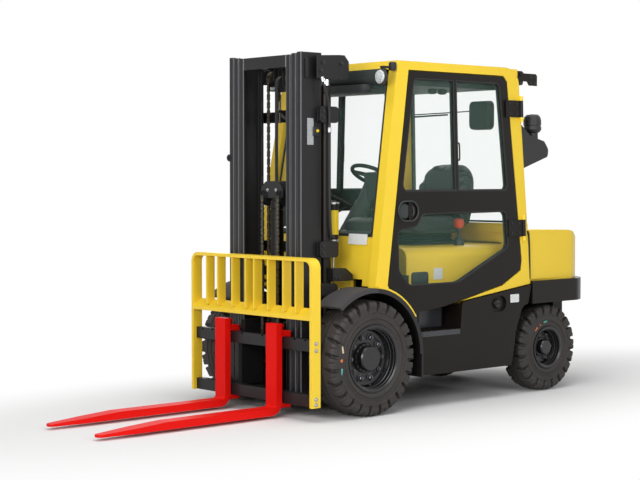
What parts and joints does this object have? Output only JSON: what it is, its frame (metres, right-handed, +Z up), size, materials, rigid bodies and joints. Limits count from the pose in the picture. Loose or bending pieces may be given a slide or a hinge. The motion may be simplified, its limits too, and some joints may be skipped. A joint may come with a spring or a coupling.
{
  "type": "forklift truck",
  "caption": "Counterbalance forklift truck with a closed cab, a three-stage lift mast, a fork carriage with a load backrest and a rear counterweight.",
  "frame": {"origin": "on the floor, under the middle of the truck's box", "axes": "+X forward to the fork tips, +Y to the driver's left, +Z up"},
  "size_m": [3.943, 1.29, 2.204],
  "materials": {
    "yellow_paint": "gloss",
    "black_paint": "satin",
    "red_paint": "gloss",
    "tinted_glass": "gloss",
    "tyre_rubber": "matte",
    "chain_steel": "oiled",
    "rod_chrome": "polished",
    "cast_iron": "matte",
    "axle_iron": "painted black",
    "seat_cloth": "woven",
    "black_plastic": "grained"
  },
  "bodies": {
    "chassis": {"frame": "black_paint", "side_tanks": "black_paint", "steps": "black_paint", "tow_block": "black_paint", "axle_hangers": "black_paint", "floor": "black_paint", "fenders": "black_plastic", "cowl": "yellow_paint", "cab_frame": "yellow_paint", "roof_panel": "black_paint", "windscreen": "tinted_glass", "rear_window": "tinted_glass", "dash": "black_plastic", "seat": "seat_cloth", "console": "black_plastic", "hood": "yellow_paint", "engine": "cast_iron", "counterweight": "yellow_paint", "weight_base": "black_paint", "rear_grille": "black_paint", "drive_axle": "axle_iron", "steer_axle": "axle_iron", "work_lamps": "black_plastic", "rear_lamps": "black_plastic", "air_intake": "black_plastic"},
    "left_door": {"left_door": "black_paint", "left_door_glass": "tinted_glass"},
    "right_door": {"right_door": "black_paint", "right_door_glass": "tinted_glass"},
    "steering_wheel": {"steering_wheel": "black_plastic"},
    "drive_wheel_left": {"drive_tyre_left": "tyre_rubber", "drive_rim_left": "black_paint"},
    "drive_wheel_right": {"drive_tyre_right": "tyre_rubber", "drive_rim_right": "black_paint"},
    "knuckle_left": {"knuckle_left": "axle_iron"},
    "knuckle_right": {"knuckle_right": "axle_iron"},
    "steer_wheel_left": {"steer_tyre_left": "tyre_rubber", "steer_rim_left": "black_paint"},
    "steer_wheel_right": {"steer_tyre_right": "tyre_rubber", "steer_rim_right": "black_paint"},
    "outer_mast": {"outer_mast": "black_paint", "lift_barrels": "black_paint", "accumulator": "black_paint"},
    "middle_mast": {"middle_mast": "black_paint", "lift_rods": "rod_chrome", "mast_sheaves": "chain_steel"},
    "inner_mast": {"inner_mast": "black_paint", "free_lift_barrel": "black_paint", "mast_chains": "chain_steel"},
    "crosshead": {"crosshead": "black_paint"},
    "carriage": {"carriage": "black_paint", "load_backrest": "yellow_paint", "lift_chains": "chain_steel"},
    "left_fork": {"left_fork": "red_paint"},
    "right_fork": {"right_fork": "red_paint"},
    "tilt_barrels": {"tilt_barrels": "black_paint"},
    "tilt_rods": {"tilt_rods": "rod_chrome"}
  },
  "joints": [
    {"name": "mast_tilt", "type": "hinge", "parent": "chassis", "child": "outer_mast", "pos_m": [0.2375, 0, 0.353], "axis": [0, 1, 0], "range_deg": [-6, 6]},
    {"name": "mast_lift", "type": "slide", "parent": "outer_mast", "child": "middle_mast", "axis": [0, 0, 1], "range_m": [0, 1.55]},
    {"name": "inner_lift", "type": "slide", "parent": "middle_mast", "child": "inner_mast", "axis": [0, 0, 1], "range_m": [0, 1.55], "deforming": ["mast_chains"]},
    {"name": "free_lift", "type": "slide", "parent": "inner_mast", "child": "carriage", "axis": [0, 0, 1], "range_m": [0, 1.34], "deforming": ["lift_chains"]},
    {"name": "crosshead_lift", "type": "slide", "parent": "inner_mast", "child": "crosshead", "axis": [0, 0, 1], "range_m": [0, 0.67]},
    {"name": "left_fork_shift", "type": "slide", "parent": "carriage", "child": "left_fork", "axis": [0, 1, 0], "range_m": [-0.15, 0.22]},
    {"name": "right_fork_shift", "type": "slide", "parent": "carriage", "child": "right_fork", "axis": [0, -1, 0], "range_m": [-0.15, 0.22]},
    {"name": "tilt_barrel_swing", "type": "hinge", "parent": "chassis", "child": "tilt_barrels", "pos_m": [-0.1425, 0, 0.69], "axis": [0, 1, 0], "range_deg": [-4, 4]},
    {"name": "tilt_rod_slide", "type": "slide", "parent": "tilt_barrels", "child": "tilt_rods", "axis": [0.9879, 0, 0.155], "range_m": [-0.06, 0.06]},
    {"name": "left_drive_spin", "type": "hinge", "parent": "chassis", "child": "drive_wheel_left", "pos_m": [0.2375, 0.5315, 0.353], "axis": [0, 1, 0], "continuous": true},
    {"name": "right_drive_spin", "type": "hinge", "parent": "chassis", "child": "drive_wheel_right", "pos_m": [0.2375, -0.5315, 0.353], "axis": [0, 1, 0], "continuous": true},
    {"name": "left_steer", "type": "hinge", "parent": "chassis", "child": "knuckle_left", "pos_m": [-1.4625, 0.345, 0.294], "axis": [0, 0, 1], "range_deg": [-75, 75]},
    {"name": "right_steer", "type": "hinge", "parent": "chassis", "child": "knuckle_right", "pos_m": [-1.4625, -0.345, 0.294], "axis": [0, 0, 1], "range_deg": [-75, 75]},
    {"name": "left_steer_spin", "type": "hinge", "parent": "knuckle_left", "child": "steer_wheel_left", "pos_m": [-1.4625, 0.4785, 0.294], "axis": [0, 1, 0], "continuous": true},
    {"name": "right_steer_spin", "type": "hinge", "parent": "knuckle_right", "child": "steer_wheel_right", "pos_m": [-1.4625, -0.4785, 0.294], "axis": [0, 1, 0], "continuous": true},
    {"name": "left_door_swing", "type": "hinge", "parent": "chassis", "child": "left_door", "pos_m": [-1.1825, 0.60399, 0.70049], "axis": [0, -0.0349, 0.9994], "range_deg": [0, 100]},
    {"name": "right_door_swing", "type": "hinge", "parent": "chassis", "child": "right_door", "pos_m": [-1.1825, -0.60399, 0.70049], "axis": [0, -0.0349, -0.9994], "range_deg": [0, 100]},
    {"name": "steering_wheel_turn", "type": "hinge", "parent": "chassis", "child": "steering_wheel", "pos_m": [-0.3625, 0, 1.455], "axis": [-0.4815, 0, 0.8764], "continuous": true}
  ],
  "couplings": [
    {"joint": "inner_lift", "follows": "mast_lift", "ratio": 1},
    {"joint": "crosshead_lift", "follows": "free_lift", "ratio": 0.5},
    {"joint": "tilt_barrel_swing", "follows": "mast_tilt", "ratio": 0.37305},
    {"joint": "tilt_rod_slide", "follows": "mast_tilt", "m_per_rad": 0.3916},
    {"joint": "right_steer", "follows": "left_steer", "ratio": 1}
  ]
}
